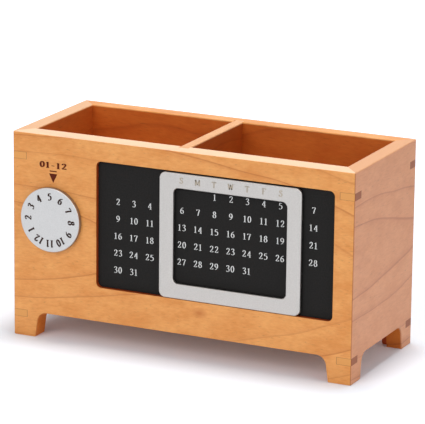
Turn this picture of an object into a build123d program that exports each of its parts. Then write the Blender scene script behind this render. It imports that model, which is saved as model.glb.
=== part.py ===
from build123d import *
import os

# Wooden desk organiser with a perpetual calendar in its front and a small drawer.
#
# A mitred box on four feet holds two pen compartments. The front board carries a black
# steel calendar board in a recess, a metal weekday frame that slides over it, and a metal
# month dial that turns on a spindle. A drawer runs under the left compartment.
#
# Millimetres. X runs to the right as seen from the front, Y to the back, Z up. The origin
# is the bottom centre of the whole object's box.

# ---- box ---------------------------------------------------------------------------
BOX_WIDTH = 180.0
BOX_DEPTH = 76.0
BOX_HEIGHT = 103.0
FRONT_THICKNESS = 9.5
BACK_THICKNESS = 8.0
SIDE_THICKNESS = 8.0
CORNER_ROUND = 0.8
RIM_ROUND = 0.8 * CORNER_ROUND
INNER_RIM_ROUND = 0.5
EDGE_ROUND = 0.5
TOE_ROUND = 0.8 * EDGE_ROUND

# ---- feet: what is left beside the arch in each board ----------------------------------
FOOT_TOE_WIDTH = 11.8
FOOT_TOP_WIDTH = 13.6
ARCH_HEIGHT = 12.7
SIDE_ARCH_HEIGHT = 12.2
ARCH_RADIUS = 5.0

# ---- boards inside the box -------------------------------------------------------------
BASE_HEIGHT = 15.0
BASE_THICKNESS = 4.0
DIVIDER_THICKNESS = 5.2
DIVIDER_OFFSET = -1.4
PEN_FLOOR_THICKNESS = 4.0
GROOVE_DEPTH = 3.0
DIVIDER_GROOVE_DEPTH = 2.0

# ---- keys across the mitred corners ----------------------------------------------------
KEY_LEG = 7.6
KEY_THICKNESS = 3.6
TOP_KEY_DROP = 11.8
BOTTOM_KEY_HEIGHT = 11.4

# ---- calendar board in its recess ------------------------------------------------------
RECESS_LEFT_MARGIN = 45.5
RECESS_RIGHT_MARGIN = 10.0
RECESS_TOP_MARGIN = 10.0
RECESS_BOTTOM = 29.9
RECESS_RADIUS = 2.7
RECESS_DEPTH = 3.2
BOARD_THICKNESS = 1.0
BOARD_CLEARANCE = 0.15

# ---- sliding weekday frame -------------------------------------------------------------
FRAME_WIDTH = 73.8
FRAME_REST_GAP = 16.7
FRAME_BORDER = 7.3
FRAME_THICKNESS = 1.5
FRAME_PROUD = 0.3
FRAME_RADIUS = 3.2
WINDOW_RADIUS = 2.7
FRAME_BEVEL = 0.25
FRAME_GAP_BELOW = 0.3
FRAME_GAP_ABOVE = 0.9
MAGNET_WIDTH = 5.0
MAGNET_END_GAP = 6.0
MAGNET_GAP = 0.2

# ---- month dial ------------------------------------------------------------------------
DIAL_RADIUS = 16.0
DIAL_THICKNESS = 2.5
DIAL_BEVEL = 0.3
DIAL_STANDOFF = 0.3
DIAL_FROM_LEFT = 21.6
DIAL_FROM_TOP = 41.8
SPINDLE_RADIUS = 3.0
SPINDLE_SEAT = 1.2
SPINDLE_CLEARANCE = 0.1
SPINDLE_END_FLOAT = 0.3
COUNTERBORE_RADIUS = 7.5
COUNTERBORE_DEPTH = 4.5
WASHER_RADIUS = 6.0
WASHER_HOLE_RADIUS = 1.7
WASHER_THICKNESS = 0.8
SCREW_HEAD_RADIUS = 2.8
SCREW_HEAD_HEIGHT = 2.0
SCREW_HEAD_BEVEL = 0.6
SCREW_RADIUS = 1.5
SCREW_LENGTH = 5.0
SLOT_WIDTH = 0.8
SLOT_DEPTH = 0.9

# ---- drawer ------------------------------------------------------------------------------
DRAWER_SPACE_HEIGHT = 27.0
GUIDE_THICKNESS = 2.5
GUIDE_HEIGHT = 12.0
DRAWER_CLEARANCE = 0.3
DRAWER_TOP_CLEARANCE = 0.5
DRAWER_SIDE_THICKNESS = 4.5
DRAWER_SIDE_HEIGHT = 21.0
DRAWER_BACK_THICKNESS = 4.5
DRAWER_BOTTOM_THICKNESS = 2.5
DRAWER_BOTTOM_LIFT = 2.5
DRAWER_GROOVE = 2.0
DRAWER_RABBET = 4.0
FINGER_HOLE_RADIUS = 7.0
FINGER_HOLE_BEVEL = 0.8
DRAWER_EDGE = 0.5

# ---- places worked out from the sizes above ----------------------------------------------
DIAL_PROUD = DIAL_STANDOFF + DIAL_THICKNESS
FRONT = -(BOX_DEPTH + DIAL_PROUD) / 2 + DIAL_PROUD
BACK = FRONT + BOX_DEPTH
LEFT = -BOX_WIDTH / 2
RIGHT = BOX_WIDTH / 2
INNER_FRONT = FRONT + FRONT_THICKNESS
INNER_BACK = BACK - BACK_THICKNESS
INNER_LEFT = LEFT + SIDE_THICKNESS
INNER_RIGHT = RIGHT - SIDE_THICKNESS
BASE_TOP = BASE_HEIGHT + BASE_THICKNESS
PEN_FLOOR_HEIGHT = BASE_TOP + DRAWER_SPACE_HEIGHT
DIVIDER_LEFT = DIVIDER_OFFSET - DIVIDER_THICKNESS / 2
DIVIDER_RIGHT = DIVIDER_OFFSET + DIVIDER_THICKNESS / 2
RECESS_LEFT = LEFT + RECESS_LEFT_MARGIN
RECESS_RIGHT = RIGHT - RECESS_RIGHT_MARGIN
RECESS_WIDTH = RECESS_RIGHT - RECESS_LEFT
RECESS_CENTRE = (RECESS_LEFT + RECESS_RIGHT) / 2
RECESS_HEIGHT = BOX_HEIGHT - RECESS_TOP_MARGIN - RECESS_BOTTOM
BOARD_FACE = FRONT + RECESS_DEPTH - BOARD_THICKNESS
FRAME_RIGHT = RECESS_RIGHT - FRAME_REST_GAP
FRAME_LEFT = FRAME_RIGHT - FRAME_WIDTH
FRAME_CENTRE = (FRAME_LEFT + FRAME_RIGHT) / 2
FRAME_FACE = FRONT - FRAME_PROUD
FRAME_BACK = FRAME_FACE + FRAME_THICKNESS
FRAME_BOTTOM = RECESS_BOTTOM + FRAME_GAP_BELOW
FRAME_HEIGHT = RECESS_HEIGHT - FRAME_GAP_BELOW - FRAME_GAP_ABOVE
DIAL_X = LEFT + DIAL_FROM_LEFT
DIAL_HEIGHT = BOX_HEIGHT - DIAL_FROM_TOP
DIAL_FACE = FRONT - DIAL_PROUD
DIAL_BACK = FRONT - DIAL_STANDOFF
SPINDLE_END = INNER_FRONT - COUNTERBORE_DEPTH + SPINDLE_END_FLOAT
DRAWER_FRONT_SIDE = INNER_FRONT + GUIDE_THICKNESS + DRAWER_CLEARANCE
DRAWER_BACK_SIDE = INNER_BACK - GUIDE_THICKNESS - DRAWER_CLEARANCE
DRAWER_UNDERSIDE = BASE_TOP + DRAWER_CLEARANCE
DRAWER_TOP = PEN_FLOOR_HEIGHT - DRAWER_TOP_CLEARANCE
DRAWER_END = DIVIDER_LEFT - DRAWER_CLEARANCE
DRAWER_FLOOR = DRAWER_UNDERSIDE + DRAWER_BOTTOM_LIFT


def block(x_from, x_to, y_from, y_to, z_from, z_to):
    """A square-edged board between the given faces."""
    centre = Pos((x_from + x_to) / 2, (y_from + y_to) / 2, (z_from + z_to) / 2)
    return centre * Box(x_to - x_from, y_to - y_from, z_to - z_from)


def prism(points, z_from, z_to):
    """An upright prism on a plan outline, whichever way round its points run."""
    outline = make_face(Polyline(*points, close=True)).face()
    if outline.normal_at().Z < 0:
        outline = -outline
    return Pos(0, 0, z_from) * extrude(outline, amount=z_to - z_from)


def rod(radius, y_from, y_to):
    """A round rod along Y on the dial's axis."""
    plane = Plane((DIAL_X, y_from, DIAL_HEIGHT), x_dir=(1, 0, 0), z_dir=(0, 1, 0))
    return extrude(plane * Circle(radius), amount=y_to - y_from)


def upright_plate(centre_x, bottom, width, height, radius, y_from, y_to):
    """A plate parallel to the front board, with rounded corners."""
    middle = (centre_x, y_from, bottom + height / 2)
    plane = Plane(middle, x_dir=(1, 0, 0), z_dir=(0, 1, 0))
    return extrude(plane * RectangleRounded(width, height, radius), amount=y_to - y_from)


def edges_at(solid, axis, place):
    """The edges whose centre lies at one place along an axis."""
    return solid.edges().filter_by_position(axis, place - 0.01, place + 0.01)


# ---- the box, worked as one ring and then parted at its mitres ---------------------------
def arch(span, height):
    """The space between two feet, along Y: sides that lean in and a rounded top.

    It reaches below the feet so that it cuts clean.
    """
    toe = span / 2 - FOOT_TOE_WIDTH
    top = span / 2 - FOOT_TOP_WIDTH
    lean = (toe - top) / height
    outline = Polyline((-toe - lean, -1), (-top, height), (top, height), (toe + lean, -1), close=True)
    face = make_face(outline)
    face = fillet(face.vertices().group_by(Axis.Y)[-1], ARCH_RADIUS)
    return extrude(Plane.XZ * face, amount=BOX_WIDTH, both=True)


def lies_inside(edge):
    """True for an edge on one of the four inner faces."""
    centre = edge.center()
    across = INNER_LEFT - 0.01 < centre.X < INNER_RIGHT + 0.01
    along = INNER_FRONT - 0.01 < centre.Y < INNER_BACK + 0.01
    return across and along


def is_outer_toe(edge):
    """True for the edges that a foot stands on, apart from those on the inner faces."""
    return edge.center().Z < 0.01 and not lies_inside(edge)


def is_arch_edge(edge):
    """True for the edges of the arches on the four outer faces."""
    centre = edge.center()
    size = edge.bounding_box().size
    low = edge.bounding_box().max.Z < max(ARCH_HEIGHT, SIDE_ARCH_HEIGHT) + 0.01 and centre.Z > 0.01
    on_long_face = min(abs(centre.Y - FRONT), abs(centre.Y - BACK)) < 0.01
    on_short_face = min(abs(centre.X - LEFT), abs(centre.X - RIGHT)) < 0.01
    plumb = size.X < 0.01 and size.Y < 0.01
    return low and (on_long_face or on_short_face) and not plumb


def make_ring():
    """The four sides of the box with their feet and rounded edges, still in one piece."""
    middle = Pos(0, (FRONT + BACK) / 2)
    ring = extrude(middle * RectangleRounded(BOX_WIDTH, BOX_DEPTH, CORNER_ROUND), amount=BOX_HEIGHT)
    ring = fillet(ring.edges().group_by(Axis.Z)[-1], RIM_ROUND)
    ring -= block(INNER_LEFT, INNER_RIGHT, INNER_FRONT, INNER_BACK, -1, BOX_HEIGHT + 1)
    ring -= middle * arch(BOX_WIDTH, ARCH_HEIGHT)
    ring -= middle * Rot(0, 0, 90) * arch(BOX_DEPTH, SIDE_ARCH_HEIGHT)
    ring = fillet(ring.edges().filter_by(is_arch_edge), EDGE_ROUND)
    return fillet(ring.edges().filter_by(is_outer_toe), TOE_ROUND)


def inner_corner(across, along):
    """The inside corner of the box: across is -1 left or 1 right, along is -1 front or 1 back."""
    return Vector(INNER_LEFT if across < 0 else INNER_RIGHT, INNER_FRONT if along < 0 else INNER_BACK)


def outer_corner(across, along):
    """The outside corner of the box, before it is rounded."""
    return Vector(LEFT if across < 0 else RIGHT, FRONT if along < 0 else BACK)


def along_mitre(corner, share):
    """A point on a corner's mitre line: 0 is the inside corner, 1 the outside one."""
    point = inner_corner(*corner) * (1 - share) + outer_corner(*corner) * share
    return (point.X, point.Y)


def mitred(ring, start, end):
    """The part of the ring between two corners, cut along the mitre at each.

    Its inner top edge is rounded after the cut, so that the round ends at the mitres.
    """
    outline = [
        along_mitre(start, -0.5),
        along_mitre(start, 1.5),
        along_mitre(end, 1.5),
        along_mitre(end, -0.5),
    ]
    board = ring & prism(outline, -1, BOX_HEIGHT + 1)
    inner_rim = edges_at(board, Axis.Z, BOX_HEIGHT).filter_by(lies_inside)
    return fillet(inner_rim, INNER_RIM_ROUND)


def key_space(across, along, height):
    """The sawn slot across a mitred corner: a flat triangle with its point at the corner."""
    corner = outer_corner(across, along)
    out_x = corner.X + across
    out_y = corner.Y + along
    points = [
        (out_x, out_y),
        (corner.X - across * (KEY_LEG + 1), out_y),
        (out_x, corner.Y - along * (KEY_LEG + 1)),
    ]
    return prism(points, height - KEY_THICKNESS / 2, height + KEY_THICKNESS / 2)


def key_spaces():
    """The eight slots by the name of the key that fills each."""
    heights = {"top": BOX_HEIGHT - TOP_KEY_DROP, "bottom": BOTTOM_KEY_HEIGHT}
    spaces = {}
    for along, face in ((-1, "front"), (1, "back")):
        for across, side in ((-1, "left"), (1, "right")):
            for level, height in heights.items():
                spaces[f"key_{face}_{side}_{level}"] = key_space(across, along, height)
    return spaces


# ---- boards inside the box ---------------------------------------------------------------
def make_base_board():
    """The bottom, held in a groove all round."""
    return block(
        INNER_LEFT - GROOVE_DEPTH, INNER_RIGHT + GROOVE_DEPTH,
        INNER_FRONT - GROOVE_DEPTH, INNER_BACK + GROOVE_DEPTH,
        BASE_HEIGHT, BASE_TOP,
    )


def make_pen_floor():
    """The raised floor of the left compartment, over the drawer."""
    return block(
        INNER_LEFT, DIVIDER_LEFT + DIVIDER_GROOVE_DEPTH,
        INNER_FRONT - GROOVE_DEPTH, INNER_BACK + GROOVE_DEPTH,
        PEN_FLOOR_HEIGHT, PEN_FLOOR_HEIGHT + PEN_FLOOR_THICKNESS,
    )


def make_divider_blank():
    """The divider before its top is rounded and its groove is cut."""
    return block(
        DIVIDER_LEFT, DIVIDER_RIGHT,
        INNER_FRONT - GROOVE_DEPTH, INNER_BACK + GROOVE_DEPTH,
        BASE_TOP, BOX_HEIGHT,
    )


def make_divider(pen_floor):
    """The divider, housed in the front and back boards up to the rim."""
    blank = make_divider_blank()
    top = edges_at(blank, Axis.Z, BOX_HEIGHT).filter_by(Axis.Y)
    return fillet(top, INNER_RIM_ROUND) - pen_floor


def make_drawer_guide(y_from):
    """A strip beside the drawer, on the base board."""
    return block(
        INNER_LEFT, DIVIDER_LEFT, y_from, y_from + GUIDE_THICKNESS, BASE_TOP, BASE_TOP + GUIDE_HEIGHT
    )


# ---- the four sides ----------------------------------------------------------------------
def make_front_panel(ring, cutters):
    """The thick front board: recess for the calendar, bore and counterbore for the dial."""
    panel = mitred(ring, (-1, -1), (1, -1))
    recess = upright_plate(
        RECESS_CENTRE, RECESS_BOTTOM, RECESS_WIDTH, RECESS_HEIGHT, RECESS_RADIUS,
        FRONT - 1, FRONT + RECESS_DEPTH,
    )
    bore = rod(SPINDLE_RADIUS + SPINDLE_CLEARANCE, FRONT - 1, INNER_FRONT)
    counterbore = rod(COUNTERBORE_RADIUS, INNER_FRONT - COUNTERBORE_DEPTH, INNER_FRONT + 1)
    return panel - [recess, bore, counterbore, *cutters]


def make_left_panel(ring, cutters):
    """The left side, with the drawer's opening between the base board and the pen floor."""
    opening = block(
        LEFT - 1, INNER_LEFT + 1,
        INNER_FRONT + GUIDE_THICKNESS, INNER_BACK - GUIDE_THICKNESS,
        BASE_TOP, PEN_FLOOR_HEIGHT,
    )
    return mitred(ring, (-1, -1), (-1, 1)) - [opening, *cutters]


# ---- calendar ----------------------------------------------------------------------------
def make_calendar_board():
    """The steel board in the recess, which the numbers are printed on."""
    return upright_plate(
        RECESS_CENTRE, RECESS_BOTTOM + BOARD_CLEARANCE,
        RECESS_WIDTH - 2 * BOARD_CLEARANCE, RECESS_HEIGHT - 2 * BOARD_CLEARANCE,
        RECESS_RADIUS - BOARD_CLEARANCE, BOARD_FACE, BOARD_FACE + BOARD_THICKNESS,
    )


def make_weekday_frame():
    """The metal frame that slides over the board, with a window seven columns wide."""
    plate = upright_plate(
        FRAME_CENTRE, FRAME_BOTTOM, FRAME_WIDTH, FRAME_HEIGHT, FRAME_RADIUS, FRAME_FACE, FRAME_BACK
    )
    window = upright_plate(
        FRAME_CENTRE, FRAME_BOTTOM + FRAME_BORDER,
        FRAME_WIDTH - 2 * FRAME_BORDER, FRAME_HEIGHT - 2 * FRAME_BORDER, WINDOW_RADIUS,
        FRAME_FACE - 1, FRAME_BACK + 1,
    )
    frame = plate - window
    return chamfer(edges_at(frame, Axis.Y, FRAME_FACE), FRAME_BEVEL)


def make_magnet(side):
    """One magnet strip behind an upright of the frame: side is -1 left or 1 right."""
    middle = FRAME_CENTRE + side * (FRAME_WIDTH - FRAME_BORDER) / 2
    return block(
        middle - MAGNET_WIDTH / 2, middle + MAGNET_WIDTH / 2,
        FRAME_BACK, BOARD_FACE - MAGNET_GAP,
        FRAME_BOTTOM + MAGNET_END_GAP, FRAME_BOTTOM + FRAME_HEIGHT - MAGNET_END_GAP,
    )


# ---- month dial --------------------------------------------------------------------------
def make_month_dial():
    """The disc, with a blind seat for the spindle in its back."""
    disc = rod(DIAL_RADIUS, DIAL_FACE, DIAL_BACK)
    disc = chamfer(edges_at(disc, Axis.Y, DIAL_FACE), DIAL_BEVEL)
    return disc - rod(SPINDLE_RADIUS, DIAL_BACK - SPINDLE_SEAT, DIAL_BACK + 1)


def make_dial_spindle():
    """The spindle through the front board, drilled for the screw."""
    spindle = rod(SPINDLE_RADIUS, DIAL_BACK - SPINDLE_SEAT, SPINDLE_END)
    return spindle - rod(SCREW_RADIUS, SPINDLE_END - SCREW_LENGTH, SPINDLE_END + 1)


def make_dial_washer():
    """The washer that keeps the dial in the board."""
    washer = rod(WASHER_RADIUS, SPINDLE_END, SPINDLE_END + WASHER_THICKNESS)
    return washer - rod(WASHER_HOLE_RADIUS, SPINDLE_END - 1, SPINDLE_END + WASHER_THICKNESS + 1)


def make_dial_screw():
    """The slotted cheese-head screw that holds the washer on the spindle."""
    seat = SPINDLE_END + WASHER_THICKNESS
    top = seat + SCREW_HEAD_HEIGHT
    head = rod(SCREW_HEAD_RADIUS, seat, top)
    head = chamfer(edges_at(head, Axis.Y, top), SCREW_HEAD_BEVEL)
    slot = block(
        DIAL_X - SCREW_HEAD_RADIUS, DIAL_X + SCREW_HEAD_RADIUS, top - SLOT_DEPTH, top + 1,
        DIAL_HEIGHT - SLOT_WIDTH / 2, DIAL_HEIGHT + SLOT_WIDTH / 2,
    )
    return head - slot + rod(SCREW_RADIUS, SPINDLE_END - SCREW_LENGTH, seat)


# ---- drawer ------------------------------------------------------------------------------
def make_drawer_side(y_from):
    """A side of the drawer, from the rabbet in its front to its back end."""
    return block(
        INNER_LEFT - DRAWER_RABBET, DRAWER_END,
        y_from, y_from + DRAWER_SIDE_THICKNESS,
        DRAWER_UNDERSIDE, DRAWER_UNDERSIDE + DRAWER_SIDE_HEIGHT,
    )


def make_drawer_bottom():
    """The thin bottom, in a groove all round."""
    return block(
        INNER_LEFT - DRAWER_GROOVE, DRAWER_END - DRAWER_BACK_THICKNESS + DRAWER_GROOVE,
        DRAWER_FRONT_SIDE + DRAWER_SIDE_THICKNESS - DRAWER_GROOVE,
        DRAWER_BACK_SIDE - DRAWER_SIDE_THICKNESS + DRAWER_GROOVE,
        DRAWER_FLOOR, DRAWER_FLOOR + DRAWER_BOTTOM_THICKNESS,
    )


def make_drawer_back(bottom):
    """The board between the two sides at the drawer's inner end."""
    board = block(
        DRAWER_END - DRAWER_BACK_THICKNESS, DRAWER_END,
        DRAWER_FRONT_SIDE + DRAWER_SIDE_THICKNESS, DRAWER_BACK_SIDE - DRAWER_SIDE_THICKNESS,
        DRAWER_UNDERSIDE, DRAWER_UNDERSIDE + DRAWER_SIDE_HEIGHT,
    )
    return board - bottom


def make_drawer_front(sides, bottom):
    """The front, flush with the left side of the box, with a round finger hole."""
    board = block(
        LEFT, INNER_LEFT, DRAWER_FRONT_SIDE, DRAWER_BACK_SIDE, DRAWER_UNDERSIDE, DRAWER_TOP
    )
    board = fillet(edges_at(board, Axis.X, LEFT), DRAWER_EDGE)
    middle = (LEFT - 1, (DRAWER_FRONT_SIDE + DRAWER_BACK_SIDE) / 2, (DRAWER_UNDERSIDE + DRAWER_TOP) / 2)
    plane = Plane(middle, x_dir=(0, 1, 0), z_dir=(1, 0, 0))
    board -= extrude(plane * Circle(FINGER_HOLE_RADIUS), amount=SIDE_THICKNESS + 2)
    board = chamfer(board.edges().filter_by(GeomType.CIRCLE), FINGER_HOLE_BEVEL)
    return board - [*sides, bottom]


def make_parts():
    """Every piece by its name."""
    ring = make_ring()
    spaces = key_spaces()
    keys = {name: ring & space for name, space in spaces.items()}
    slots = list(spaces.values())

    base_board = make_base_board()
    pen_floor = make_pen_floor()
    housings = [base_board, pen_floor, make_divider_blank(), *slots]

    sides = [
        make_drawer_side(DRAWER_FRONT_SIDE),
        make_drawer_side(DRAWER_BACK_SIDE - DRAWER_SIDE_THICKNESS),
    ]
    bottom = make_drawer_bottom()

    return {
        "front_panel": make_front_panel(ring, housings),
        "back_panel": mitred(ring, (-1, 1), (1, 1)) - housings,
        "left_side_panel": make_left_panel(ring, [base_board, *slots]),
        "right_side_panel": mitred(ring, (1, -1), (1, 1)) - [base_board, *slots],
        **keys,
        "base_board": base_board,
        "pen_floor": pen_floor,
        "divider": make_divider(pen_floor),
        "drawer_guide_front": make_drawer_guide(INNER_FRONT),
        "drawer_guide_back": make_drawer_guide(INNER_BACK - GUIDE_THICKNESS),
        "calendar_board": make_calendar_board(),
        "weekday_frame": make_weekday_frame(),
        "magnet_strip_left": make_magnet(-1),
        "magnet_strip_right": make_magnet(1),
        "month_dial": make_month_dial(),
        "dial_spindle": make_dial_spindle(),
        "dial_washer": make_dial_washer(),
        "dial_screw": make_dial_screw(),
        "drawer_front": make_drawer_front(sides, bottom),
        "drawer_side_front": sides[0] - bottom,
        "drawer_side_back": sides[1] - bottom,
        "drawer_back": make_drawer_back(bottom),
        "drawer_bottom": bottom,
    }


def main():
    """Writes one STEP file per piece and prints what the joints are set from."""
    os.makedirs("parts", exist_ok=True)
    for name, shape in make_parts().items():
        shape.label = name
        export_step(shape, f"parts/{name}.step")
    print(f"frame travel: {FRAME_LEFT - RECESS_LEFT:.2f} left, {FRAME_REST_GAP:.2f} right")
    print(f"dial axis: x {DIAL_X:.2f}, z {DIAL_HEIGHT:.2f}; front of the box at y {FRONT:.2f}")


if __name__ == "__main__":
    main()
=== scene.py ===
# %% [markdown]
# # A wooden desk calendar with a drawer
# This lesson dresses a measured model of a small wooden desk organiser. The parts already
# have their real shape and size, so the work here is finish, print, light and camera. The
# measured parts could be copied and reshaped, but then the looks and the moving model would
# drift apart, so each part is kept as it is and only gets a better surface.

# %% Load the measured parts
import math

import bmesh
import bpy
from mathutils import Matrix, Vector


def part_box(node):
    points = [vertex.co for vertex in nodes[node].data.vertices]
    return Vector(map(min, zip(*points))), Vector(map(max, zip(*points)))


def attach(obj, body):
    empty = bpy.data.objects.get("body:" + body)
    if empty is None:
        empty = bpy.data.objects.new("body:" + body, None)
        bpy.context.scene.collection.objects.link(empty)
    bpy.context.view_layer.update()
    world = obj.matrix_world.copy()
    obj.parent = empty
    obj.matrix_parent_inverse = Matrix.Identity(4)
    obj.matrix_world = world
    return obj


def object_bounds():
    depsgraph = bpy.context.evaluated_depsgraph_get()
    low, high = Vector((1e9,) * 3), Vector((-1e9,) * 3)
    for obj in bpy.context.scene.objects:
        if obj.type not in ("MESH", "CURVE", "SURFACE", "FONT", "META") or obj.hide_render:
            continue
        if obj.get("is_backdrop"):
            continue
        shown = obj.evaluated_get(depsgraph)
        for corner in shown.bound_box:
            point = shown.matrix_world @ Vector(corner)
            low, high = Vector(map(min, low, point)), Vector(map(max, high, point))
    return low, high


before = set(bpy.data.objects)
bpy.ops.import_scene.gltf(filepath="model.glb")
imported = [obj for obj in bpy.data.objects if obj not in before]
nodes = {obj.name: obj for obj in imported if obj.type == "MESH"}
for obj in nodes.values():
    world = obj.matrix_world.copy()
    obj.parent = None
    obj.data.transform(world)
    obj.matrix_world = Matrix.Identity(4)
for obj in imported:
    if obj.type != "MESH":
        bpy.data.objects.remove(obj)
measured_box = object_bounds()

MM = 0.001

# %% [markdown]
# ## Places on the object
# Every print and mark sits on a face of a part. The faces could be typed in as numbers, but
# reading them from the parts keeps the print on its face when a part changes.

# %% Read the faces that carry print
board_low, board_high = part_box("calendar_board")
slider_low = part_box("weekday_frame")[0]
dial_low, dial_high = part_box("month_dial")
front_low, front_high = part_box("front_panel")
back_low, back_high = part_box("back_panel")
side_low, side_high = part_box("right_side_panel")
BOX_TOP = front_high.z
FRONT_FACE = front_low.y
BACK_FACE = back_high.y
SIDE_FACE = side_high.x
INNER_FRONT = front_high.y
INNER_BACK = back_low.y
INNER_SIDE = side_low.x
dial_centre = (dial_low + dial_high) / 2
print("front face at y", round(FRONT_FACE / MM, 2), "mm")
print("dial centre in mm", [round(v / MM, 2) for v in dial_centre])

# %% [markdown]
# ## Colour and nodes
# Colours are picked as the hex values that a screen shows, and the renderer wants linear
# light, so one function turns one into the other. A material could be clicked together in the
# node editor, but nodes made in code can be read and repeated. One small function adds any
# node, sets it and links what feeds it.


# %% A colour function and a node function
def colour(hex_value):
    """Linear colour, with alpha, of an sRGB hex value such as 'E09C5A'."""
    channels = [int(hex_value[i:i + 2], 16) / 255 for i in (0, 2, 4)]
    linear = [c / 12.92 if c <= 0.04045 else ((c + 0.055) / 1.055) ** 2.4 for c in channels]
    return (*linear, 1.0)


def add(tree, kind, inputs=None, stops=None, **settings):
    """Adds a shader node. An input is a value, a socket, or a node whose first output feeds it.
    stops are the places and grey levels of a colour ramp."""
    node = tree.nodes.new("ShaderNode" + kind)
    for key, value in settings.items():
        setattr(node, key, value)
    for key, value in (inputs or {}).items():
        if isinstance(value, bpy.types.Node):
            value = next(socket for socket in value.outputs if socket.enabled)
        if isinstance(value, bpy.types.NodeSocket):
            tree.links.new(value, node.inputs[key])
        else:
            node.inputs[key].default_value = value
    if stops:
        elements = node.color_ramp.elements
        while len(elements) < len(stops):
            elements.new(0.5)
        for element, (place, level) in zip(elements, stops):
            element.position = place
            element.color = (level, level, level, 1.0)
    return node


def empty_tree(owner):
    """The node tree of a material or a world, with nothing in it."""
    owner.use_nodes = True
    owner.node_tree.nodes.clear()
    return owner.node_tree


print("E09C5A in linear light:", [round(c, 3) for c in colour("E09C5A")[:3]])

# %% [markdown]
# ## Camera
# A long lens from well back keeps the box's edges nearly parallel, as in a product picture.
# The camera could be aimed by eye, but a position worked out from an azimuth, an elevation
# and a distance can be read and corrected one value at a time.

# %% Set up the camera
CAMERA_AZIMUTH = math.radians(25.231)
CAMERA_ELEVATION = math.radians(14.949)
CAMERA_ROLL = math.radians(0.651)
CAMERA_DISTANCE = 1461.6 * MM
CAMERA_TARGET = Vector((-0.455, 1.4, 64.22)) * MM
LENS = 254.37
SENSOR_WIDTH = 36.0

back = Vector((
    math.sin(CAMERA_AZIMUTH) * math.cos(CAMERA_ELEVATION),
    -math.cos(CAMERA_AZIMUTH) * math.cos(CAMERA_ELEVATION),
    math.sin(CAMERA_ELEVATION),
))
level = Vector((math.cos(CAMERA_AZIMUTH), math.sin(CAMERA_AZIMUTH), 0.0))
upward = back.cross(level)
across = math.cos(CAMERA_ROLL) * level + math.sin(CAMERA_ROLL) * upward
up = -math.sin(CAMERA_ROLL) * level + math.cos(CAMERA_ROLL) * upward

camera_data = bpy.data.cameras.new("studio_camera")
camera_data.lens = LENS
camera_data.sensor_width = SENSOR_WIDTH
camera = bpy.data.objects.new("studio_camera", camera_data)
camera.matrix_world = Matrix.Translation(CAMERA_TARGET + back * CAMERA_DISTANCE) @ Matrix(
    (across, up, back)
).transposed().to_4x4()
bpy.context.scene.collection.objects.link(camera)
bpy.context.scene.camera = camera
bpy.context.scene.view_settings.view_transform = "Standard"
print("camera at", [round(v, 3) for v in camera.matrix_world.translation])

# %% [markdown]
# ## Floor
# The object stands on a plain white sheet. A sheet lit hard enough to go white would also
# bleach the wood, so the sheet is lifted only where the camera looks straight at it, and less
# near the object, where it keeps the shadow.

# %% Make the floor
FLOOR_HALF = 3.0
LIFT_NEAR = 0.045
LIFT_FAR = 0.90
LIFT_STARTS = 120 * MM
LIFT_ENDS = 800 * MM

mesh = bpy.data.meshes.new("floor")
corners = [(-FLOOR_HALF, -FLOOR_HALF, 0), (FLOOR_HALF, -FLOOR_HALF, 0),
           (FLOOR_HALF, FLOOR_HALF, 0), (-FLOOR_HALF, FLOOR_HALF, 0)]
mesh.from_pydata(corners, [], [(0, 1, 2, 3)])
floor = bpy.data.objects.new("floor", mesh)
bpy.context.scene.collection.objects.link(floor)

paper = bpy.data.materials.new("white_paper_sweep")
tree = empty_tree(paper)
matt = add(tree, "BsdfDiffuse", {"Color": colour("F0F5FC")})
distance = add(tree, "VectorMath", {0: add(tree, "TexCoord").outputs["Object"]}, operation="LENGTH")
amount = add(tree, "MapRange", {0: distance, 1: LIFT_STARTS, 2: LIFT_ENDS, 3: LIFT_NEAR, 4: LIFT_FAR})
seen = add(tree, "LightPath").outputs["Is Camera Ray"]
strength = add(tree, "Math", {0: seen, 1: amount}, operation="MULTIPLY")
lift = add(tree, "Emission", {"Color": colour("DCE8FF"), "Strength": strength})
add(tree, "OutputMaterial", {"Surface": add(tree, "AddShader", {0: matt, 1: lift})})
floor.data.materials.append(paper)
floor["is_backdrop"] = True
print("floor:", 2 * FLOOR_HALF, "m wide")

# %% [markdown]
# ## Light
# A studio has large soft lamps and pale walls. The walls could be built, but a plain world
# does their work: it lights the object dimly, and it is white to the camera and to whatever
# metal and lacquer mirror. Three square lamps give the front, the rims and the side their
# different tones.

# %% Light the room
WORLD_LIGHT = 0.44
LAMP_AIM = Vector((0, 0, 50 * MM))

world = bpy.data.worlds.new("studio")
bpy.context.scene.world = world
tree = empty_tree(world)
ray = add(tree, "LightPath").outputs
seen = add(tree, "Math", {0: ray["Is Camera Ray"], 1: ray["Is Glossy Ray"]}, operation="MAXIMUM")
seen = add(tree, "Math", {0: seen, 1: ray["Is Transmission Ray"]}, operation="MAXIMUM")
dim = add(tree, "Background", {"Color": colour("FFFFFF"), "Strength": WORLD_LIGHT})
white = add(tree, "Background", {"Color": colour("FFFFFF"), "Strength": 1.0})
add(tree, "OutputWorld", {"Surface": add(tree, "MixShader", {0: seen, 1: dim, 2: white})})


def softbox(name, place, size, power):
    """A square lamp that faces the object: place and size in metres, power in watts."""
    data = bpy.data.lights.new(name, "AREA")
    data.size = size
    data.energy = power
    lamp = bpy.data.objects.new(name, data)
    lamp.location = place
    lamp.rotation_euler = (LAMP_AIM - Vector(place)).to_track_quat("-Z", "Y").to_euler()
    bpy.context.scene.collection.objects.link(lamp)


softbox("key_softbox", (-0.30, -1.28, 0.85), 0.80, 7.1)
softbox("top_softbox", (0.03, 0.09, 1.30), 0.30, 9.9)
softbox("side_softbox", (1.30, -0.45, 0.80), 0.70, 3.4)

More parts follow.
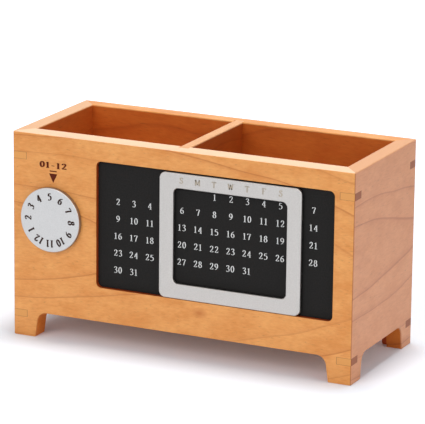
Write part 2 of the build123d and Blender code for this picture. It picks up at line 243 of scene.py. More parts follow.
# %% [markdown]
# ## Lacquered hardwood
# The box is sawn from a fine-grained hardwood and finished with a thin satin lacquer. What
# shows is a warm even ground, soft cloudy figure, and thin darker lines where a growth ring
# ends. A flat wood picture would smear over the edges, so the grain is cut from a solid:
# rings round a trunk whose axis lies behind the board, stretched along the grain.

# %% Grain that is cut from a trunk
# Real fibres are under a tenth as wide and too fine to show, so they are drawn this coarse.
FIBRE_WIDTH = 0.6 * MM
FIBRE_LENGTH = 9.0 * MM
FIBRE_SHADE = [(0.25, 0.72), (0.34, 0.94), (0.50, 0.98), (0.72, 1.0)]
FLECK_WIDTH = 1.1 * MM
FLECK_LENGTH = 4.5 * MM
FIGURE_SHADE = [(0.36, 0.0), (0.64, 1.0)]
CLOUD_SIZE = 8.0 * MM
CLOUD_STRETCH = 0.5
CLOUD_SHARE = 0.6
RING_SPACING = 9.0 * MM
RING_STRENGTH = 0.85
RING_UNEVENNESS = 1.2
RING_PROFILE = [(0.0, 0.0), (0.72, 0.0), (0.90, 0.20), (0.955, 0.85), (0.98, 0.12), (1.0, 0.0)]
WANDER = 13.0 * MM
WANDER_SIZE = 46.0 * MM
WANDER_STRETCH = 0.42
TURN_TO_GRAIN = {"x": (0.0, 0.0, 0.0), "y": (0.0, 0.0, math.radians(90))}


def grain_noise(tree, board, size, stretch, detail, roughness):
    """Noise of this size across the grain and drawn out along it. stretch is width over length."""
    drawn_out = add(tree, "VectorMath", {0: board, 1: (stretch, 1.0, 1.0)}, operation="MULTIPLY")
    return add(tree, "TexNoise", {
        "Vector": drawn_out, "Scale": 1 / size, "Detail": detail, "Roughness": roughness})


def growth_rings(tree, board):
    """How much darker the wood is here because a growth ring ends. Some rings are stronger."""
    wander = grain_noise(tree, board, WANDER_SIZE, WANDER_STRETCH, 2.0, 0.45)
    section = add(tree, "VectorMath", {0: board, 1: (0.0, 1.0, 1.0)}, operation="MULTIPLY")
    radius = add(tree, "VectorMath", {0: section}, operation="LENGTH")
    shift = add(tree, "Math", {0: wander, 1: WANDER}, operation="MULTIPLY")
    wavy = add(tree, "Math", {0: radius, 1: shift}, operation="ADD")
    ring_place = add(tree, "Math", {0: wavy, 1: RING_SPACING}, operation="DIVIDE")
    year = add(tree, "Math", {0: ring_place}, operation="FRACT")
    line = add(tree, "ValToRGB", {0: year}, RING_PROFILE)
    number = add(tree, "Math", {0: ring_place}, operation="FLOOR")
    chance = add(tree, "TexWhiteNoise", {"W": number}, noise_dimensions="1D")
    uneven = add(tree, "Math", {0: chance, 1: RING_UNEVENNESS}, operation="POWER")
    strength = add(tree, "Math", {0: uneven, 1: RING_STRENGTH}, operation="MULTIPLY")
    return add(tree, "Math", {0: line, 1: strength}, operation="MULTIPLY")


print("growth rings are", round(RING_SPACING / MM, 1), "mm apart")

# %% [markdown]
# ## Where shade and light are painted on the wood
# The same board is given other tones by place. Painted shade makes it darker and warmer inside
# the box, on the walls of the recess and inside the arches, and a painted sheen makes the upper edge
# paler. The faces could be split off the board, but its mesh stays as it is, so each place is found by its
# coordinates.

# %% Measures that the masks share
def all_of(tree, first, *others):
    """The product of masks: 1 where each of them is 1. A share among them weakens it."""
    for other in others:
        first = add(tree, "Math", {0: first, 1: other}, operation="MULTIPLY")
    return first


def off_middle(tree, coordinate, low, high):
    """How far a coordinate lies from the middle between two values."""
    shifted = add(tree, "Math", {0: coordinate, 1: (low + high) / 2}, operation="SUBTRACT")
    return add(tree, "Math", {0: shifted}, operation="ABSOLUTE")


def distances_from_corner(tree, spot):
    """How far in a point lies from the nearer side of the box, and from its front or back."""
    half_depth = (BACK_FACE - FRONT_FACE) / 2
    off_x = add(tree, "Math", {0: spot[0]}, operation="ABSOLUTE")
    off_y = off_middle(tree, spot[1], FRONT_FACE, BACK_FACE)
    from_side = add(tree, "Math", {0: SIDE_FACE, 1: off_x}, operation="SUBTRACT")
    from_face = add(tree, "Math", {0: half_depth, 1: off_y}, operation="SUBTRACT")
    return from_side, from_face


print("half the depth of the box:", round((BACK_FACE - FRONT_FACE) / 2 / MM, 2), "mm")

# %% Masks of the inside, the recess and the upper edge
SKIN = 0.05 * MM
RIM_ROUND = 0.7 * MM
RECESS_EDGE = 0.4 * MM
# Painted sheen on the upper edge: how deep it reaches and how strongly it shows.
UPPER_EDGE = 0.3 * MM
RIM_SHEEN_SHARE = 0.7


def inside_mask(tree, spot):
    """1 on the faces inside the box and 0 outside it. Painted shade and warm bounced light go where it is 1.
    """
    off_x = add(tree, "Math", {0: spot[0]}, operation="ABSOLUTE")
    between_sides = add(tree, "Math", {0: off_x, 1: INNER_SIDE + SKIN}, operation="LESS_THAN")
    behind_front = add(tree, "Math", {0: spot[1], 1: INNER_FRONT - SKIN}, operation="GREATER_THAN")
    before_back = add(tree, "Math", {0: spot[1], 1: INNER_BACK + SKIN}, operation="LESS_THAN")
    under_rim = add(tree, "Math", {0: spot[2], 1: BOX_TOP - RIM_ROUND}, operation="LESS_THAN")
    return all_of(tree, between_sides, behind_front, before_back, under_rim)


def recess_mask(tree, spot):
    """1 on the walls of the recess that holds the black board, which get painted shade."""
    off_x = off_middle(tree, spot[0], board_low.x, board_high.x)
    off_z = off_middle(tree, spot[2], board_low.z, board_high.z)
    half_width = (board_high.x - board_low.x) / 2
    half_height = (board_high.z - board_low.z) / 2
    in_x = add(tree, "Math", {0: off_x, 1: half_width + RECESS_EDGE}, operation="LESS_THAN")
    in_z = add(tree, "Math", {0: off_z, 1: half_height + RECESS_EDGE}, operation="LESS_THAN")
    below_face = add(tree, "Math", {0: spot[1], 1: FRONT_FACE + RECESS_EDGE}, operation="GREATER_THAN")
    above_floor = add(tree, "Math", {0: spot[1], 1: board_high.y + RECESS_EDGE}, operation="LESS_THAN")
    return all_of(tree, in_x, in_z, below_face, above_floor)


def upper_edge_mask(tree, spot):
    """The share of the painted sheen on the upper edge of the box, which is paler on most boards."""
    on_top = add(tree, "Math", {0: spot[2], 1: BOX_TOP - UPPER_EDGE}, operation="GREATER_THAN")
    return all_of(tree, on_top, RIM_SHEEN_SHARE)


print("recess walls end", round((board_high.y - FRONT_FACE) / MM, 2), "mm below the front face")

# %% [markdown]
# ## Arches, mitres and a knot
# The faces inside the arches lie under the box, so painted shade makes them darker and more orange. Each
# outer corner shows the glue of its mitre as a fine line, and a pin knot is where a thin twig once grew.
# These could be painted on a picture by hand, but a rule made of distances fits every board.

# %% Masks of the arches, the mitres and the knot
UNDER_EDGE = 0.6 * MM
UNDER_TOP = 13.0 * MM
MITRE_LINE = 0.6 * MM
MITRE_REACH = 1.2 * MM
MITRE_SHARE = 0.5
KNOT_X = 11.0 * MM
KNOT_Z = 24.6 * MM
KNOT_RADIUS = 1.1 * MM
KNOT_FADE = 3.4 * MM
KNOT_STRETCH = 0.6
KNOT_SHARE = 0.55


def under_mask(tree, spot):
    """1 on the faces inside the arches, which get painted shade because they lie under the box."""
    from_side, from_face = distances_from_corner(tree, spot)
    nearest = add(tree, "Math", {0: from_side, 1: from_face}, operation="MINIMUM")
    inward = add(tree, "Math", {0: nearest, 1: UNDER_EDGE}, operation="GREATER_THAN")
    low = add(tree, "Math", {0: spot[2], 1: UNDER_TOP}, operation="LESS_THAN")
    return all_of(tree, inward, low)


def mitre_mask(tree, spot):
    """The glue line of the mitre, which shows as a thin dark line down each outer corner."""
    from_side, from_face = distances_from_corner(tree, spot)
    lean = add(tree, "Math", {0: from_side, 1: from_face}, operation="SUBTRACT")
    off_mitre = add(tree, "Math", {0: lean}, operation="ABSOLUTE")
    on_line = add(tree, "Math", {0: off_mitre, 1: MITRE_LINE / 2}, operation="LESS_THAN")
    inward = add(tree, "Math", {0: from_side, 1: from_face}, operation="ADD")
    at_corner = add(tree, "Math", {0: inward, 1: MITRE_REACH}, operation="LESS_THAN")
    return all_of(tree, on_line, at_corner, MITRE_SHARE)


def knot_mask(tree, spot, clouds):
    """A pin knot below the recess, with a ragged edge that fades along the grain."""
    off_x = add(tree, "Math", {0: spot[0], 1: KNOT_X}, operation="SUBTRACT")
    drawn_in = add(tree, "Math", {0: off_x, 1: KNOT_STRETCH}, operation="MULTIPLY")
    off_z = add(tree, "Math", {0: spot[2], 1: KNOT_Z}, operation="SUBTRACT")
    away = add(tree, "CombineXYZ", {0: drawn_in, 1: off_z})
    distance = add(tree, "VectorMath", {0: away}, operation="LENGTH")
    rough = add(tree, "Math", {0: clouds, 1: KNOT_RADIUS}, operation="MULTIPLY")
    ragged = add(tree, "Math", {0: distance, 1: rough}, operation="ADD")
    return add(tree, "MapRange", {0: ragged, 1: KNOT_RADIUS, 2: KNOT_FADE, 3: KNOT_SHARE, 4: 0.0})


print("the knot fades out", round(KNOT_FADE / MM, 1), "mm from its middle")

# %% [markdown]
# ## The wood of each board
# Each board comes from another place in the trunk, so each has its own rings. A satin lacquer
# has an IOR of about 1.5 and a roughness near 0.45, and its reflection is a little weaker than
# a gloss coat's. The layers of colour lie over each other: ground, rings and fibres as on the wood,
# then painted shade inside and in the recess, glue lines, a knot, and a painted sheen on the upper edge.

# %% A recipe for lacquered hardwood
# Painted shade on the faces inside the arches, under the box.
ARCH_SHADE_TONE = "FFD370"
MITRE_TONE = "7A3E18"
# Painted shade and warm bounced light on the faces inside the box.
INSIDE_SHADE_TONE = "E6B072"
# Painted shade on the walls of the recess.
RECESS_SHADE_TONE = "B86C38"


def hardwood(name, grain, pale, deep, ring, trunk, tilt, inside=None, recess=None, edge=None, knot=False):
    """Lacquered hardwood. trunk is where the trunk's axis lies, tilt how the board leans to it.
    inside is a tone of painted shade and warm bounced light on the inner faces, and it also brings
    the painted shade inside the arches and the glue lines of the mitres. recess is a tone of painted
    shade on the walls of the recess, and edge a tone of painted sheen on the upper edge."""
    material = bpy.data.materials.new(name)
    tree = empty_tree(material)
    place = add(tree, "TexCoord").outputs["Object"]
    spot = add(tree, "SeparateXYZ", {0: place}).outputs
    along = add(tree, "VectorRotate", {"Vector": place, "Rotation": TURN_TO_GRAIN[grain]},
                rotation_type="EULER_XYZ", invert=True)
    board = add(tree, "Mapping", {"Vector": along, "Location": trunk, "Rotation": tilt})

    clouds = grain_noise(tree, board, CLOUD_SIZE, CLOUD_STRETCH, 3.0, 0.55)
    flecks = grain_noise(tree, board, FLECK_WIDTH, FLECK_WIDTH / FLECK_LENGTH, 2.0, 0.6)
    fibres = grain_noise(tree, board, FIBRE_WIDTH, FIBRE_WIDTH / FIBRE_LENGTH, 2.0, 0.6)
    cloudy = add(tree, "Math", {0: clouds, 1: CLOUD_SHARE}, operation="MULTIPLY")
    flecked = add(tree, "Math", {0: flecks, 1: 1 - CLOUD_SHARE}, operation="MULTIPLY")
    figure = add(tree, "Math", {0: cloudy, 1: flecked}, operation="ADD")
    depth = add(tree, "ValToRGB", {0: figure}, FIGURE_SHADE)
    surface = add(tree, "Mix", {0: depth, 6: colour(pale), 7: colour(deep)}, data_type="RGBA")

    layers = [(growth_rings(tree, board), colour(ring), "MIX"),
              (1.0, add(tree, "ValToRGB", {0: fibres}, FIBRE_SHADE), "MULTIPLY")]
    if inside:
        # Painted shade and warm bounced light on the faces inside the box.
        layers.append((inside_mask(tree, spot), colour(inside), "MULTIPLY"))
        # Painted shade on the faces inside the arches.
        layers.append((under_mask(tree, spot), colour(ARCH_SHADE_TONE), "MULTIPLY"))
        layers.append((mitre_mask(tree, spot), colour(MITRE_TONE), "MIX"))
    if knot:
        layers.append((knot_mask(tree, spot, clouds), colour(ring), "MIX"))
    if recess:
        # Painted shade on the walls of the recess.
        layers.append((recess_mask(tree, spot), colour(recess), "MULTIPLY"))
    if edge:
        # Painted sheen on the upper edge.
        layers.append((upper_edge_mask(tree, spot), colour(edge), "MIX"))
    for share, tone, mode in layers:
        surface = add(tree, "Mix", {0: share, 6: surface, 7: tone}, data_type="RGBA", blend_type=mode)

    relief = add(tree, "Bump", {"Height": fibres, "Strength": 0.25, "Distance": 0.03 * MM})
    shader = add(tree, "BsdfPrincipled", {
        "Base Color": surface, "Normal": relief, "Roughness": 0.45, "IOR": 1.5, "Specular IOR Level": 0.4})
    add(tree, "OutputMaterial", {"Surface": shader})
    return material


# F3D2B2 is the painted sheen on the upper edge of the front.
front_wood = hardwood("lacquered_hardwood_front", "x", "E9A25A", "DA8C43", "B45C1C",
                      (0.0, 0.0108, -0.050), (0.0, math.radians(2.0), math.radians(-13.0)),
                      INSIDE_SHADE_TONE, RECESS_SHADE_TONE, "F3D2B2", knot=True)
print(front_wood.name, "nodes:", len(front_wood.node_tree.nodes))

# %% [markdown]
# ## Which wood goes where
# The side boards run from front to back, so their grain is turned by a right angle. Hidden
# boards got only a thin coat and stay paler. One wood for all would be shorter, but then the
# rings would run on across the corners, which a mitred box of separate boards never shows.


# %% Dress the boards
def dress(material, *names):
    """Gives parts a finished material."""
    for name in names:
        nodes[name].data.materials.clear()
        nodes[name].data.materials.append(material)


# The inside tones given to the boards are painted shade and warm bounced light.
back_wood = hardwood("lacquered_hardwood_back", "x", "E8A25C", "DA8D46", "B05C22",
                     (0.05, -0.090, -0.075), (0.0, math.radians(-4.0), math.radians(5.0)), INSIDE_SHADE_TONE)
# The edge tones of the side boards are painted sheen, pale on the left and near the board's own tone on the
# right.
right_wood = hardwood("lacquered_hardwood_right", "y", "DD986B", "D18B5E", "A85A34",
                      (0.02, 0.0764, -0.058), (0.0, 0.0, math.radians(-7.3)),
                      INSIDE_SHADE_TONE, edge="D7A071")
left_wood = hardwood("lacquered_hardwood_left", "y", "E9A76A", "DA9254", "B0602C",
                     (0.03, -0.045, -0.120), (0.0, math.radians(-3.0), math.radians(4.0)),
                     "D89C5E", edge="D9AD85")
divider_wood = hardwood("lacquered_hardwood_divider", "y", "E6AC78", "D99C66", "B5744B",
                        (0.01, -0.060, -0.120), (0.0, math.radians(5.0), 0.0), "C98342")
inner_wood = hardwood("thinly_lacquered_hardwood", "x", "E0A777", "D09564", "AC7049",
                      (0.02, 0.040, -0.150), (0.0, math.radians(2.0), math.radians(4.0)))
cross_wood = hardwood("thinly_lacquered_hardwood_cross", "y", "E0A777", "D09564", "AC7049",
                      (0.02, 0.060, -0.090), (0.0, math.radians(2.0), math.radians(4.0)))
dress(front_wood, "front_panel")
dress(back_wood, "back_panel")
dress(right_wood, "right_side_panel")
dress(left_wood, "left_side_panel", "drawer_front")
dress(divider_wood, "divider")
dress(inner_wood, "base_board", "pen_floor", "drawer_guide_front", "drawer_guide_back",
      "drawer_side_front", "drawer_side_back", "drawer_bottom")
dress(cross_wood, "drawer_back")
print("woods:", [m.name for m in bpy.data.materials if "hardwood" in m.name])

# %% [markdown]
# ## Keys across the corners
# A key is a thin slip of the same wood glued into a sawn slot. Its grain runs across the
# corner, so its faces show cut fibre ends, which drink more lacquer and look darker on the
# side of the box. The glue could be modelled as a thin sheet, but only its edge shows, so it
# is drawn as a fine dark line round the key.

# %% Dress the keys
GLUE_LINE = 0.28 * MM
GLUE_LINE_LEVEL = 0.6 * GLUE_LINE
GLUE_SHARE = 0.65
KEY_SLACK = 0.01 * MM
FACES_SIDE = 0.7
# Real pores are about 0.1 mm wide and too fine to show, so they are drawn this coarse.
PORE = 0.35 * MM
PORE_SHADE = [(0.35, 0.0), (0.7, 0.3)]

upper_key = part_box("key_front_right_top")
lower_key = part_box("key_front_right_bottom")
KEY_LEG = upper_key[1].x - upper_key[0].x

key_wood = bpy.data.materials.new("hardwood_end_grain")
tree = empty_tree(key_wood)
texture = add(tree, "TexCoord").outputs
spot = add(tree, "SeparateXYZ", {0: texture["Object"]}).outputs
facing = add(tree, "SeparateXYZ", {0: texture["Normal"]}).outputs
turned = add(tree, "Math", {0: facing[0]}, operation="ABSOLUTE")
sideways = add(tree, "Math", {0: turned, 1: FACES_SIDE}, operation="GREATER_THAN")

from_side, from_face = distances_from_corner(tree, spot)
from_corner = add(tree, "Math", {0: from_side, 1: from_face}, operation="ADD")
to_long_edge = add(tree, "Math", {0: KEY_LEG, 1: from_corner}, operation="SUBTRACT")
glue = add(tree, "Math", {0: to_long_edge, 1: GLUE_LINE}, operation="LESS_THAN")
for low, high in (upper_key, lower_key):
    half_height = (high.z - low.z) / 2
    off = off_middle(tree, spot[2], low.z, high.z)
    near = add(tree, "Math", {0: off, 1: half_height + KEY_SLACK}, operation="LESS_THAN")
    at_edge = add(tree, "Math", {0: off, 1: half_height - GLUE_LINE_LEVEL}, operation="GREATER_THAN")
    glue = add(tree, "Math", {0: glue, 1: all_of(tree, near, at_edge)}, operation="MAXIMUM")

pores = add(tree, "TexNoise", {"Vector": texture["Object"], "Scale": 1 / PORE, "Detail": 1.0})
dark_pores = add(tree, "ValToRGB", {0: pores}, PORE_SHADE)
tone = add(tree, "Mix", {0: sideways, 6: colour("DD9A54"), 7: colour("9E5832")}, data_type="RGBA")
pored = all_of(tree, dark_pores, sideways)
grained = add(tree, "Mix", {0: pored, 6: tone, 7: colour("8A563C")}, data_type="RGBA")
glued = add(tree, "Mix", {0: all_of(tree, glue, GLUE_SHARE), 6: grained, 7: colour("8A5232")},
            data_type="RGBA")
shader = add(tree, "BsdfPrincipled", {
    "Base Color": glued, "Roughness": 0.5, "IOR": 1.5, "Specular IOR Level": 0.3})
add(tree, "OutputMaterial", {"Surface": shader})
keys = [name for name in nodes if name.startswith("key_")]
dress(key_wood, *keys)
print("keys:", len(keys), "with legs of", round(KEY_LEG / MM, 2), "mm")

# %% [markdown]
# ## Bare metal
# The frame and the dial are blasted metal, which is pale, even and softly shiny: grit leaves
# tiny dents that spread the light. The dents could be modelled, but they are finer than the
# picture shows, so a fine noise drives colour and bump. Painted shade makes the dial's rim
# darker. The spindle, the screw and the washer are zinc plated.

# %% Dress the metal
MOTTLE_SHADE = [(0.3, 0.0), (0.7, 1.0)]
FACES_FRONT = 0.3


def blasted_metal(name, tone, shade, grit, roughness, rim=None):
    """Bare metal blasted with fine grit. rim is a tone of painted shade on the faces that look sideways."""
    material = bpy.data.materials.new(name)
    tree = empty_tree(material)
    texture = add(tree, "TexCoord").outputs
    grain = add(tree, "TexNoise", {
        "Vector": texture["Object"], "Scale": 1 / grit, "Detail": 2.0, "Roughness": 0.6})
    dents = add(tree, "ValToRGB", {0: grain}, MOTTLE_SHADE)
    surface = add(tree, "Mix", {0: dents, 6: colour(tone), 7: colour(shade)}, data_type="RGBA")
    if rim:
        facing = add(tree, "SeparateXYZ", {0: texture["Normal"]}).outputs
        to_front = add(tree, "Math", {0: facing[1]}, operation="ABSOLUTE")
        on_shaded_rim = add(tree, "Math", {0: to_front, 1: FACES_FRONT}, operation="LESS_THAN")
        # Painted shade on the rim.
        surface = add(tree, "Mix", {0: on_shaded_rim, 6: surface, 7: colour(rim)}, data_type="RGBA")
    relief = add(tree, "Bump", {"Height": grain, "Strength": 0.35, "Distance": 0.02 * MM})
    shader = add(tree, "BsdfPrincipled", {
        "Base Color": surface, "Normal": relief, "Metallic": 1.0, "Roughness": roughness})
    add(tree, "OutputMaterial", {"Surface": shader})
    return material


# Dents of 0.1 mm grit are drawn as 0.5 mm, and fine zinc crystals as 0.9 mm, so that they show.
frame_steel = blasted_metal("blasted_steel", "C9C4BF", "BEB9B4", 0.5 * MM, 0.42)
# A39B94 is painted shade on the dial's rim.
dial_aluminium = blasted_metal("blasted_aluminium", "CFCDCB", "C5C3C1", 0.5 * MM, 0.45, "A39B94")
zinc_plate = blasted_metal("zinc_plate", "B9BBBD", "A6A8AB", 0.9 * MM, 0.35)
dress(frame_steel, "weekday_frame")
dress(dial_aluminium, "month_dial")
dress(zinc_plate, "dial_spindle", "dial_washer", "dial_screw")
print("metals:", frame_steel.name, dial_aluminium.name, zinc_plate.name)

# %% [markdown]
# ## Thin coats
# The board behind the numbers is sheet steel with a matt black stoved coat: nearly black,
# slightly warm, with the finest orange-peel. Ink, rubber and burnt wood are matt skins too.
# Each could have its own recipe, but they differ only in colour, roughness and the size of
# the skin's pattern, so one recipe serves them all.

# %% Dress the coated and the rubber parts
MATT_SHINE = 0.12


def matt_coat(name, tone, shade, peel, roughness):
    """A thin matt coat whose skin has a pattern of this size. It reflects little."""
    material = bpy.data.materials.new(name)
    tree = empty_tree(material)
    place = add(tree, "TexCoord").outputs["Object"]
    skin = add(tree, "TexNoise", {"Vector": place, "Scale": 1 / peel, "Detail": 3.0, "Roughness": 0.6})
    mottle = add(tree, "ValToRGB", {0: skin}, MOTTLE_SHADE)
    surface = add(tree, "Mix", {0: mottle, 6: colour(tone), 7: colour(shade)}, data_type="RGBA")
    relief = add(tree, "Bump", {"Height": skin, "Strength": 0.3, "Distance": 0.03 * MM})
    shader = add(tree, "BsdfPrincipled", {
        "Base Color": surface, "Normal": relief, "Roughness": roughness, "IOR": 1.5,
        "Specular IOR Level": MATT_SHINE})
    add(tree, "OutputMaterial", {"Surface": shader})
    return material


black_coat = matt_coat("stoved_black_coat", "232120", "1B1A19", 0.8 * MM, 0.7)
rubber = matt_coat("magnet_rubber", "1C1B1B", "252424", 0.6 * MM, 0.75)
dress(black_coat, "calendar_board")
dress(rubber, "magnet_strip_left", "magnet_strip_right")
print("coats:", black_coat.name, rubber.name)

# %% [markdown]
# ## Characters
# The numbers are screen printed: a film of ink a few hundredths of a millimetre thick. They
# could be painted in the material, but a real film has crisp outlines at any size, so each
# is a thin solid that stands on its face. A font isn't needed: each character is a few strokes
# in a box one high, drawn with a nib that is held at a slant.

# %% Strokes of the characters
OVAL_STEPS = 8


def oval(x, y, wide, high):
    """Points of a closed oval, starting at its top."""
    turns = [math.tau * i / OVAL_STEPS for i in range(OVAL_STEPS + 1)]
    return [(x + wide * math.sin(t), y + high * math.cos(t)) for t in turns]


SIX = [(0.41, 0.95), (0.24, 0.84), (0.10, 0.60), (0.07, 0.32), (0.14, 0.09), (0.26, 0.02),
       (0.39, 0.12), (0.43, 0.31), (0.37, 0.51), (0.25, 0.58), (0.10, 0.44)]
CHARACTERS = {
    "0": [oval(0.25, 0.5, 0.18, 0.47)],
    "1": [[(0.27, 0.02), (0.27, 0.98)], [(0.27, 0.95), (0.12, 0.83)], [(0.11, 0.02), (0.43, 0.02)]],
    "2": [[(0.08, 0.74), (0.14, 0.92), (0.26, 0.98), (0.39, 0.88), (0.40, 0.70), (0.30, 0.44), (0.06, 0.06)],
          [(0.05, 0.06), (0.42, 0.06)], [(0.41, 0.06), (0.45, 0.21)]],
    "3": [[(0.08, 0.80), (0.15, 0.94), (0.26, 0.98), (0.37, 0.90), (0.38, 0.74), (0.30, 0.60), (0.17, 0.54)],
          [(0.17, 0.54), (0.34, 0.50), (0.43, 0.32), (0.38, 0.11), (0.22, 0.02), (0.07, 0.10)]],
    "4": [[(0.33, 0.96), (0.04, 0.29)], [(0.03, 0.28), (0.47, 0.28)], [(0.34, 0.02), (0.34, 0.97)],
          [(0.22, 0.02), (0.46, 0.02)]],
    "5": [[(0.12, 0.93), (0.42, 0.93)], [(0.13, 0.93), (0.09, 0.55)],
          [(0.09, 0.55), (0.24, 0.62), (0.39, 0.52), (0.43, 0.31), (0.35, 0.10), (0.19, 0.02), (0.06, 0.09)]],
    "6": [SIX],
    "7": [[(0.06, 0.93), (0.45, 0.93)], [(0.44, 0.93), (0.30, 0.50), (0.21, 0.02)],
          [(0.06, 0.93), (0.05, 0.78)]],
    "8": [oval(0.25, 0.76, 0.14, 0.20), oval(0.25, 0.28, 0.18, 0.26)],
    "9": [[(0.5 - x, 1 - y) for x, y in SIX]],
    "-": [[(0.06, 0.40), (0.38, 0.40)]],
    "S": [[(0.44, 0.78), (0.39, 0.94), (0.26, 0.98), (0.13, 0.90), (0.11, 0.73), (0.26, 0.55), (0.42, 0.42),
           (0.46, 0.24), (0.37, 0.06), (0.22, 0.02), (0.09, 0.08), (0.05, 0.24)]],
    "M": [[(0.13, 0.02), (0.13, 0.97)], [(0.13, 0.97), (0.42, 0.12)], [(0.42, 0.12), (0.72, 0.97)],
          [(0.72, 0.97), (0.72, 0.02)], [(0.04, 0.02), (0.23, 0.02)], [(0.60, 0.02), (0.83, 0.02)]],
    "T": [[(0.32, 0.02), (0.32, 0.97)], [(0.05, 0.96), (0.59, 0.96)], [(0.05, 0.96), (0.04, 0.78)],
          [(0.59, 0.96), (0.60, 0.78)], [(0.20, 0.02), (0.44, 0.02)]],
    "W": [[(0.09, 0.97), (0.27, 0.04)], [(0.27, 0.04), (0.45, 0.90)], [(0.45, 0.90), (0.62, 0.04)],
          [(0.62, 0.04), (0.80, 0.97)], [(0.01, 0.97), (0.19, 0.97)], [(0.71, 0.97), (0.88, 0.97)]],
    "F": [[(0.14, 0.02), (0.14, 0.97)], [(0.05, 0.96), (0.52, 0.96)], [(0.14, 0.53), (0.40, 0.53)],
          [(0.52, 0.96), (0.53, 0.80)], [(0.04, 0.02), (0.25, 0.02)]],
}
print("characters:", "".join(CHARACTERS))

# %% [markdown]
# ## Ink from strokes
# Printed ink has an even thickness and sharp edges, and a stroke is broad or thin by its
# direction. A curve with a round section would give neither, so each stroke becomes a flat
# ribbon whose width follows the slant of the nib, and whose back is sunk a little in its face.

# %% A ribbon as a nib writes it
INK = 0.03 * MM
SINK = 0.01 * MM
NIB_ANGLE = math.radians(16)
NIB_POWER = 1.4
THIN_SHARE = 0.38
CURVE_STEPS = 5
SAME_POINT = 1e-6


def smooth(points):
    """A smooth path through a few points; two points stay a straight line."""
    if len(points) == 2:
        return [Vector(p) for p in points]
    loop = (Vector(points[0]) - Vector(points[-1])).length < SAME_POINT
    before = points[-2] if loop else points[0]
    after = points[1] if loop else points[-1]
    chain = [Vector(p) for p in (before, *points, after)]
    path = []
    for a, b, c, d in zip(chain, chain[1:], chain[2:], chain[3:]):
        for i in range(CURVE_STEPS):
            t = i / CURVE_STEPS
            path.append(0.5 * ((2 * b) + (c - a) * t + (2 * a - 5 * b + 4 * c - d) * t ** 2
                               + (3 * b - a - 3 * c + d) * t ** 3))
    path.append(Vector(points[-1]))
    return path


def ribbon(print_mesh, path, thick, to_face):
    """A thin solid along a path, broad where a held nib would write broadly."""
    rings = []
    for i, point in enumerate(path):
        ahead = path[min(i + 1, len(path) - 1)] - path[max(i - 1, 0)]
        ahead.normalize()
        spread = abs(ahead.x * math.sin(NIB_ANGLE) - ahead.y * math.cos(NIB_ANGLE))
        half = thick * (THIN_SHARE + (1 - THIN_SHARE) * spread ** NIB_POWER) / 2
        side = Vector((-ahead.y, ahead.x)) * half
        rings.append([print_mesh.verts.new(to_face(p, depth)) for p, depth in (
            (point + side, -SINK), (point - side, -SINK), (point - side, INK), (point + side, INK))])
    print_mesh.faces.new(rings[0])
    print_mesh.faces.new(rings[-1][::-1])
    for first, second in zip(rings, rings[1:]):
        for i in range(4):
            j = (i + 1) % 4
            print_mesh.faces.new((first[i], second[i], second[j], first[j]))


print("ink stands", round(INK / MM, 3), "mm proud")

# %% [markdown]
# ## Setting the characters
# A line of print has even gaps between its characters, and on the dial it is turned as a
# whole. Each character could be a piece of its own, but one piece per print is easier to
# move with the part that carries it.

# %% Stamp characters and finish a print
GAP = 0.125


def stamp(print_mesh, words, centre, height, width_share, thick, turn=0.0):
    """Adds characters to a print on a face that looks to the front. turn is clockwise."""
    reach = {}
    for character in words:
        across_all = [point[0] for stroke in CHARACTERS[character] for point in stroke]
        reach[character] = (min(across_all), max(across_all))
    total = sum(reach[c][1] - reach[c][0] for c in words) + 2 * GAP * (len(words) - 1)
    start = -total / 2
    for character in words:
        shift = start - reach[character][0]

        def to_face(point, depth):
            x = (point.x + shift) * width_share * height
            z = (point.y - 0.5) * height
            across = x * math.cos(turn) + z * math.sin(turn)
            upright = z * math.cos(turn) - x * math.sin(turn)
            return (centre[0] + across, centre[1] - depth, centre[2] + upright)

        for points in CHARACTERS[character]:
            ribbon(print_mesh, smooth(points), thick, to_face)
        start += reach[character][1] - reach[character][0] + 2 * GAP


def finish_print(print_mesh, name, material, body):
    """Turns a print into a piece that rides on a body."""
    mesh = bpy.data.meshes.new(name)
    bmesh.ops.recalc_face_normals(print_mesh, faces=print_mesh.faces)
    print_mesh.to_mesh(mesh)
    print_mesh.free()
    mesh.materials.append(material)
    piece = bpy.data.objects.new(name, mesh)
    bpy.context.scene.collection.objects.link(piece)
    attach(piece, body)
    print(name, "faces:", len(mesh.polygons))


print("gap between characters:", 2 * GAP, "of their height, before widening")

# %% [markdown]
# ## Days on the board
# The board holds the days in 13 columns, and the frame shows seven of them at a time, so that
# sliding it sets the weekday on which the month starts. Each row is a week later than the
# one above it, so one formula gives every day its place and nothing is listed by hand.

# %% Print the days on the board
DAYS_IN_WEEK = 7
LAST_DAY = 31
COLUMNS = 13
ROWS = 6
MIDDLE_COLUMN = 7
MIDDLE_X = 17.45 * MM
COLUMN_STEP = 8.53 * MM
FIRST_ROW = 82.03 * MM
ROW_STEP = 8.49 * MM
DAY_HEIGHT = 3.15 * MM
DAY_WIDTH = 1.25
DAY_STROKE = 0.115

white_ink = matt_coat("white_screen_ink", "E6E6E4", "DADAD8", 0.5 * MM, 0.6)
days = bmesh.new()
for row in range(ROWS):
    for column in range(1, COLUMNS + 1):
        day = DAYS_IN_WEEK * row + column - (MIDDLE_COLUMN - 1)
        if 1 <= day <= LAST_DAY:
            x = MIDDLE_X + COLUMN_STEP * (column - MIDDLE_COLUMN)
            z = FIRST_ROW - ROW_STEP * row
            stamp(days, str(day), (x, board_low.y, z), DAY_HEIGHT, DAY_WIDTH, DAY_STROKE)
finish_print(days, "day_numbers", white_ink, "box")

# %% [markdown]
# ## Months round the dial
# The twelve numbers stand with their feet to the middle, so each is upright when it is turned
# to the top. They could be typed as one text on a circle, but stamping one number at each step
# of the turn keeps every number whole.

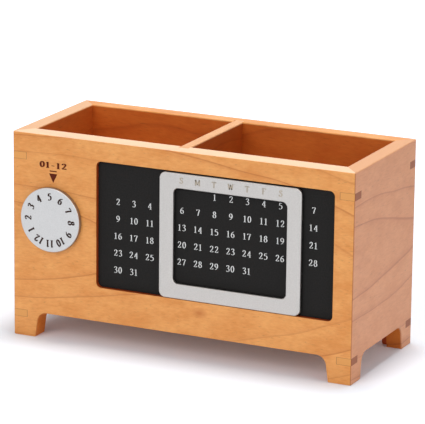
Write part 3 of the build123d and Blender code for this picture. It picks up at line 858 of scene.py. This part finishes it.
# %% Print the months round the dial
MONTHS = 12
MONTH_STEP = math.radians(30)
MONTH_RADIUS = 11.8 * MM
MONTH_HEIGHT = 3.6 * MM
MONTH_WIDTH = 1.12
MONTH_STROKE = 0.23
MONTH_AT_TOP = 5

brown_ink = matt_coat("brown_screen_ink", "3C2823", "33211D", 0.4 * MM, 0.6)
months = bmesh.new()
for month in range(1, MONTHS + 1):
    turn = MONTH_STEP * (month - MONTH_AT_TOP)
    x = dial_centre.x + MONTH_RADIUS * math.sin(turn)
    z = dial_centre.z + MONTH_RADIUS * math.cos(turn)
    stamp(months, str(month), (x, dial_low.y, z), MONTH_HEIGHT, MONTH_WIDTH, MONTH_STROKE, turn)
finish_print(months, "month_numbers", brown_ink, "month_wheel")

# %% [markdown]
# ## Weekdays on the frame
# The initials are faint: a thin brown ink on pale metal that hardly darkens it. They could be
# half transparent, but a thin ink of a middling tone looks the same and is simpler to export.

# %% Print the weekday initials on the frame
INITIALS = "SMTWTFS"
FIRST_INITIAL = 1.0 * MM
INITIAL_STEP = 8.6 * MM
INITIAL_Z = 88.8 * MM
INITIAL_HEIGHT = 2.9 * MM
INITIAL_WIDTH = 1.15
INITIAL_STROKE = 0.2

faint_ink = matt_coat("faded_brown_ink", "B3A796", "A99D8C", 0.4 * MM, 0.6)
weekdays = bmesh.new()
for place, letter in enumerate(INITIALS):
    centre = (FIRST_INITIAL + INITIAL_STEP * place, slider_low.y, INITIAL_Z)
    stamp(weekdays, letter, centre, INITIAL_HEIGHT, INITIAL_WIDTH, INITIAL_STROKE)
finish_print(weekdays, "weekday_initials", faint_ink, "weekday_slider")

# %% [markdown]
# ## Burnt marks above the dial
# A small arrow with a bar shows which month is set. On the wood it is burnt in with a hot
# die, so it is a dark brown stain with almost no thickness. A plain legend stands above. The
# marks could be cut into the board, but a stain has no depth, so they are as thin as ink.

# %% Burn the marks
MARK_X = -67.87 * MM
LEGEND = "01-12"
LEGEND_Z = 88.1 * MM
LEGEND_HEIGHT = 2.9 * MM
LEGEND_WIDTH = 1.75
LEGEND_STROKE = 0.23
BAR_HALF_WIDTH = 1.9 * MM
BAR_Z = 85.15 * MM
BAR_HALF_HEIGHT = 0.28 * MM
ARROW_HALF_WIDTH = 2.25 * MM
ARROW_TOP = 83.9 * MM
ARROW_TIP = 79.35 * MM


def flat_mark(print_mesh, outline):
    """Adds a thin solid on the front board with this outline of x and z."""
    lower = [print_mesh.verts.new((x, FRONT_FACE + SINK, z)) for x, z in outline]
    upper = [print_mesh.verts.new((x, FRONT_FACE - INK, z)) for x, z in outline]
    print_mesh.faces.new(upper)
    print_mesh.faces.new(lower[::-1])
    count = len(outline)
    for i in range(count):
        j = (i + 1) % count
        print_mesh.faces.new((lower[i], lower[j], upper[j], upper[i]))


burnt = matt_coat("burnt_wood", "642410", "521C0C", 0.3 * MM, 0.7)
marks = bmesh.new()
stamp(marks, LEGEND, (MARK_X, FRONT_FACE, LEGEND_Z), LEGEND_HEIGHT, LEGEND_WIDTH, LEGEND_STROKE)
bar_left = MARK_X - BAR_HALF_WIDTH
bar_right = MARK_X + BAR_HALF_WIDTH
bar_low = BAR_Z - BAR_HALF_HEIGHT
bar_high = BAR_Z + BAR_HALF_HEIGHT
flat_mark(marks, [(bar_left, bar_low), (bar_right, bar_low), (bar_right, bar_high), (bar_left, bar_high)])
flat_mark(marks, [
    (MARK_X, ARROW_TIP), (MARK_X + ARROW_HALF_WIDTH, ARROW_TOP), (MARK_X - ARROW_HALF_WIDTH, ARROW_TOP)])
finish_print(marks, "month_arrow", burnt, "box")

# %% [markdown]
# ## Sizes and the last line
# The dressed object must be the size of the measured one. It could be checked by eye, but
# writing down how far the low corner of the box moved shows a difference of a hundredth of a millimetre.

# %% Write the sizes and finish
shown_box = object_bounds()
grown = [round((shown - measured) / MM, 3) for measured, shown in zip(measured_box[0], shown_box[0])]
print("the low corner moved by mm:", grown)
